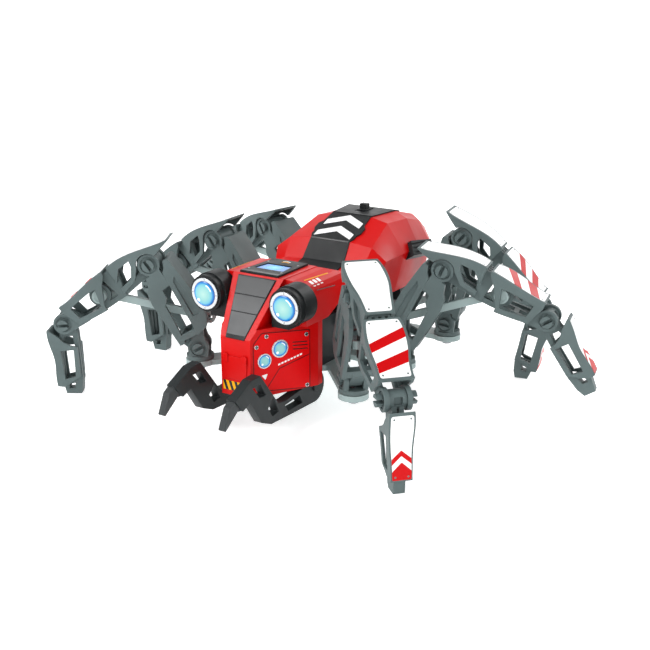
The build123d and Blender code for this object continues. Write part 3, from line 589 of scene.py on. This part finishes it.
for leg in FOOT_BELOW_LEVEL:
    origin, along, across = leg_frame(leg, "knee")
    armour = surface_of(f"{leg}_leg_armour")
    upper = Print(origin, along, -across, armour, LEG_REACH)
    sticker(upper, UPPER_PLAN, ARMOUR_INSET, -17.4, 21.8)
    upper.done(f"{leg}_upper_sticker", f"{leg}_shin", "slate_plastic")
    lower = Print(origin, along, -across, armour, LEG_REACH)
    sticker(lower, LOWER_PLAN, ARMOUR_INSET, 27.4, 61.0)
    lower.area(band((41.2, 46.2), (32.9, 38.6)), RED_FILM, STRIPE)
    lower.area(band((52.2, 58.0), (45.9, 52.8)), RED_FILM, STRIPE)
    lower.done(f"{leg}_lower_sticker", f"{leg}_shin", "red_plastic")
    origin, along, across = leg_frame(leg, "ankle")
    toe = Print(origin, along, -across, surface_of(f"{leg}_foot"), LEG_REACH)
    sticker(toe, FOOT_PLAN, FOOT_INSET, 5.8, 40.2)
    half = smooth_curve(FOOT_PLAN, 30) - FOOT_INSET
    chevron = [(29.0, -half), (24.5, 0), (29.0, half), (32.1, half), (27.6, 0), (32.1, -half)]
    toe.area(chevron, RED_FILM, STRIPE)
    tip = [(35.5, -half), (30.7, 0), (35.5, half), (40.2, half - 0.2), (40.2, 0.2 - half)]
    toe.area(rounded(tip, 0.8), RED_FILM, STRIPE)
    toe.done(f"{leg}_foot_sticker", f"{leg}_foot_body", "red_plastic")


# ---------------------------------------------------------------- lamps
LAMP_X, LAMP_Z, LAMP_FACE, LENS_AHEAD = 27.7, 76.7, -88.8, 1.2
DOME = [(0, -1.0), (7.4, -1.0), (7.4, 0.1), (6.9, 0.5), (5.6, 0.9), (3.8, 1.1), (1.9, 1.18),
        (0, 1.2)]
LAMP_REACH = 10
for side, hand in SIDES:
    # the eye lenses are prints; their emission is a painted glow
    centre = place(side * LAMP_X, LAMP_FACE - LENS_AHEAD, LAMP_Z)
    lens = keep(lathe(DOME, centre, -TO_REAR, 56), f"lamp_lens_{hand}", "chassis", [PAINTED_GLOW_LENS],
                replaces=["lamp_lenses"])
    glint = Print(centre, TO_LEFT, UP, surface_of(lens), LAMP_REACH, 0.8)
    glint.area(crescent(5.9, 5.3, (0, 0), 12, 22, 50), GLINT, 0.03, 0.02)
    glint.area(ring(1.0, (-3.6, -3.9), 20), GLINT, 0.03, 0.02)
    glint.done(f"lamp_glint_{hand}", "chassis", "lamp_blue")
    ticks = Print(centre, TO_LEFT, UP, surface_of("lamp_bezels"), LAMP_REACH, 2.0)
    for turn in (0, 90, 180, 270):
        a = math.radians(turn)
        near, far = [(radius * math.cos(a), radius * math.sin(a)) for radius in (8.0, 8.9)]
        ticks.area(stroke([near, far], 0.4), DARK_STEEL, 0.04, 0.02)
    ticks.done(f"lamp_ticks_{hand}", "chassis", "silver")


# ---------------------------------------------------------------- head prints
head = surface_of("head_shell")
CHEEK_CORNER, CHEEK_RUN = (10.6, -98.0), Vector((19.4, 39.5, 0)).normalized()
HEAD_REACH = 8
SCREW_RADIUS = 1.25
CHEEK_MARK = 0.15               # mm the cheek's marks stand over the head shell


def lamp_print(prints, centre, radius):
    """A small printed round lamp: rim, glass with a painted glow, and two glints on it."""
    prints.area(ring(radius, centre, 36), SILVER, 0.55)
    prints.area(ring(radius * 0.84, centre, 36), PAINTED_GLOW_LENS, 0.62, glow=(centre, radius * 0.84))
    x, y = centre
    prints.area(ring(radius * 0.16, (x - radius * 0.35, y - radius * 0.4), 14), GLINT, 0.66)
    prints.area(crescent(radius * 0.7, radius * 0.6, centre, 10, 25, 50), GLINT, 0.66)


def screw(prints, centre):
    """A cross-head screw."""
    x, y = centre
    prints.area(ring(SCREW_RADIUS, centre, 20), SILVER, 0.5)
    for wide, tall in ((0.28, 0.85), (0.85, 0.28)):
        w, t = wide * SCREW_RADIUS, tall * SCREW_RADIUS
        prints.area(box(x - w, y - t, x + w, y + t), DARK_STEEL, 0.54)


def cheek(side):
    """The bright panel on one cheek; places are (along the cheek, height) in mm."""
    run = Vector((side * CHEEK_RUN.x, CHEEK_RUN.y, 0))
    corner = place(side * CHEEK_CORNER[0], CHEEK_CORNER[1], 0)
    panel = Print(corner, run, UP, head, HEAD_REACH, 3.0, side)
    outer = [(6.6, 60.6), (38.6, 57.6), (38.6, 21.6), (8.8, 25.0), (1.0, 35.0), (1.0, 54.4)]
    panel.area(rounded(outer, 1.2), DEEP_RED_FILM, 0.08)
    inner = [(6.9, 60.0), (38.0, 57.0), (38.0, 22.2), (9.1, 25.6), (1.6, 35.3), (1.6, 54.2)]
    panel.area(rounded(inner, 1.2), BRIGHT_RED_FILM, 0.12)
    panel.area(stroke([(9.4, 26.4), (18.1, 37.4), (37.8, 42.4)], 0.6), DEEP_RED_FILM, CHEEK_MARK)
    for low, z in ((26.8, 51.6), (26.9, 49.6), (27.0, 47.4)):
        panel.area(stroke([(low, z), (low + 9.9, z - 1.1)], 0.6), BLACK_FILM, CHEEK_MARK)
    for k in range(8):
        u = 17.2 + 2.05 * k
        panel.area([(u, 39.2 + 0.5 * k), (u + 1.4, 39.5 + 0.5 * k), (u + 1.4, 40.5 + 0.5 * k),
                    (u, 40.2 + 0.5 * k)], WHITE_FILM, CHEEK_MARK)
    panel.area(rounded([(6.3, 35.1), (10.2, 35.6), (8.7, 32.1)], 0.5), WHITE_FILM, CHEEK_MARK)
    for spot in ((9.7, 58.0), (3.2, 52.6), (35.9, 55.0), (36.3, 23.8)):
        screw(panel, spot)
    lamp_print(panel, (18.4, 49.3), 5.3)
    lamp_print(panel, (8.2, 43.6), 4.4)
    return panel


for side, hand in SIDES:
    cheek(side).done(f"cheek_panel_{hand}", "chassis", "red_plastic")

# nose: embossed panel with two hinge bumps, hazard stripe under it
NOSE_FRONT = place(0, -98.4, 0)
nose = Print(NOSE_FRONT, TO_LEFT, UP, head, HEAD_REACH, 4.0)
nose.area(rounded([(-8.2, 46.0), (8.2, 46.0), (7.4, 32.4), (-7.4, 32.4)], 1.0), RED, 0.5)
for side in (1, -1):
    nose.area(rounded(box(side * 5.0, 47.2, side * 8.0, 42.4), 0.6), RED, 1.1)
nose.done("nose_panel", "chassis", "red_plastic")

hazard = Print(NOSE_FRONT, TO_LEFT, UP, head, HEAD_REACH, 4.0)
HAZARD_HALF, HAZARD_TOP, HAZARD_FOOT = 9.2, 30.6, 25.0
hazard.area(box(-HAZARD_HALF, HAZARD_TOP, HAZARD_HALF, HAZARD_FOOT), YELLOW_FILM, 0.1)
for k in range(5):
    x = -8.6 + 3.9 * k
    hazard.area([(x - 0.6, HAZARD_TOP), (min(HAZARD_HALF, x + 1.3), HAZARD_TOP),
                 (min(HAZARD_HALF, x + 3.2), HAZARD_FOOT), (x + 1.3, HAZARD_FOOT)],
                BLACK_FILM, 0.14)
hazard.done("hazard_stripe", "chassis", "black_plastic")


# visor: three smoked panes down the brow, each standing a little higher than the one below
def visor_half(rise):
    """Half the width of the panes, rise mm up the brow."""
    return 6.05 + (rise - 0.6) * 0.177


brow = Print(place(0, -99.2, 56.1), TO_LEFT, Vector((0, 23.5, 31.4)), surface_of("head_visor"),
             6, 4.0)
for low, high, lift in ((27.5, 38.4, 0.34), (16.9, 27.0, 0.26), (2.9, 16.4, 0.18)):
    foot, head_end = visor_half(low), visor_half(high)
    pane = [(-foot, low), (foot, low), (head_end, high), (-head_end, high)]
    brow.area(rounded(pane, 0.5), PANE, lift)
brow.done("visor_panes", "chassis", "black_plastic")

# top plate: lit display, fixing screws, front strip and a small plain mark
top = Print(place(0, 0, 92), TO_LEFT, TO_REAR, surface_of("head_deck"), 12, 2.0)
top.area(rounded([(-9.4, -64.3), (9.4, -64.3), (8.2, -53.3), (-8.2, -53.3)], 0.6), SCREEN, 0.3,
         glow=((0, -59), 11.5))
top.area([(-13.0, -74.3), (13.0, -74.3), (12.9, -71.4), (-12.9, -71.4)], BLACK_FILM, 0.2)
for x, y in ((11.4, -68.2), (-11.4, -68.2), (10.6, -49.6), (-10.6, -49.6)):
    top.area(ring(0.75, (x, y), 14), STEEL, 0.16)
top.area(stroke([(-2.6, -47.2), (0, -45.9), (2.6, -47.2)], 0.8), YELLOW_FILM, 0.1)
top.area(stroke([(-2.6, -45.6), (0, -44.3), (2.6, -45.6)], 0.6), WHITE_FILM, 0.1)
top.done("deck_display", "chassis", "lamp_blue")

# shoulders: a yellow line, plain slanted bars and a thin grey line on each side
for side, hand in SIDES:
    mark = Print(place(side * 28.5, 0, 84), TO_REAR, Vector((side * -0.75, 0, 0.66)), head,
                 12, 3.0, side)
    mark.area(stroke([(-65.6, 4.2), (-43.0, 2.6)], 0.7), YELLOW_FILM, 0.12)
    for start in (-64.4, -60.6, -56.8):
        mark.area([(start, 2.4), (start + 2.3, 2.25), (start + 3.7, -1.9), (start + 1.4, -1.75)],
                  WHITE_FILM, 0.12)
    mark.area(stroke([(-61.5, -4.0), (-42.0, -5.3)], 0.4), GREY_FILM, 0.12)
    mark.done(f"shoulder_marks_{hand}", "chassis", "red_plastic")

# abdomen: two plain white chevrons on the sloping part of the spine, a black edge before and
# behind them, and a black bed for the switch
ABOVE_ABDOMEN = place(0, 0, 112)
roof = Print(ABOVE_ABDOMEN, TO_LEFT, TO_REAR, surface_of("abdomen_spine"), 30, 3.0)
for rear in (4.6, 16.2):
    roof.area([(-13.2, rear), (0, rear + 6.4), (13.2, rear), (13.2, rear + 5.2), (0, rear + 11.8),
               (-13.2, rear + 5.2)], WHITE_FILM, 0.12)
for half, rear in ((13.6, 2.9), (13.8, 30.2)):
    roof.area(stroke([(-half, rear), (half, rear)], 0.5), BLACK_FILM, 0.3)
roof.done("spine_chevrons", "chassis", "black_plastic")
bed = Print(ABOVE_ABDOMEN, TO_LEFT, TO_REAR, surface_of("abdomen_shell"), 30, 3.0)
bed.area(box(-3.6, 39.7, 3.6, 52.3), BLACK_FILM, 0.12)
bed.done("switch_bed", "chassis", "black_plastic")


# ---------------------------------------------------------------- floor
PAPER_HALF, PAPER_CELLS = 8.0, 64       # metres, and cells along each side
SWEEP_START, SWEEP_RISE = 4.0, 0.35     # where the paper begins to curve up, and how steeply
PAPER_GLOW = 0.55
bm = bmesh.new()
bmesh.ops.create_grid(bm, x_segments=PAPER_CELLS, y_segments=PAPER_CELLS, size=PAPER_HALF)
for v in bm.verts:
    v.co.z = SWEEP_RISE * max(0.0, v.co.length - SWEEP_START) ** 2
mesh = bpy.data.meshes.new("studio_floor")
bm.to_mesh(mesh)
bm.free()
floor = bpy.data.objects.new("studio_floor", mesh)
bpy.context.scene.collection.objects.link(floor)
s = Surface("floor paper", Emission_Color=(1, 1, 1, 1), Emission_Strength=PAPER_GLOW)
paper = s.mix(s.span(s.noise(14, 4), 0.3, 0.7), linear(244, 245, 246), linear(249, 250, 250))
mesh.materials.append(s.finish(paper, 0.75, s.noise(900, 3), 0.02, round_edges=0.01))
